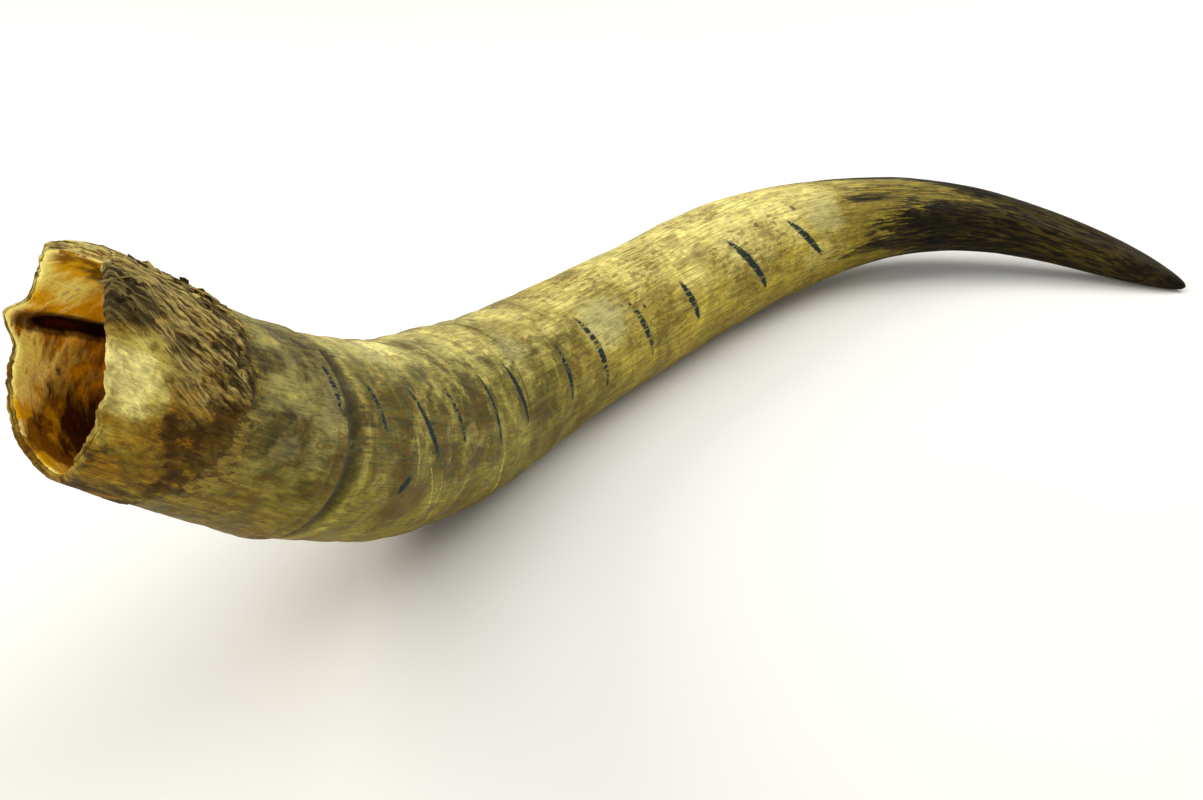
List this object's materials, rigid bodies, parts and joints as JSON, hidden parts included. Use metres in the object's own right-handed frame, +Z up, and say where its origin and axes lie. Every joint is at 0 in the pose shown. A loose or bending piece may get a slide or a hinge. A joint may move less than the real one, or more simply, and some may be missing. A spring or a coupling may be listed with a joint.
{
  "type": "watusi horn",
  "caption": "Long curved cattle horn, hollow and broken open at the thick base, solid and dark at the pointed tip, lying on its side on its belly and tip.",
  "frame": {"origin": "centre of the bounding box in plan, on the surface the horn lies on", "axes": "+X along the horn's longest extent, from the open base to the tip; +Z up as it lies; the horn bows towards +Y in plan"},
  "size_m": [1.0314, 0.3324, 0.3083],
  "materials": {
    "horn": "natural unpolished horn, olive yellow to near black at the tip"
  },
  "bodies": {
    "root": {"horn": "horn"}
  },
  "joints": []
}
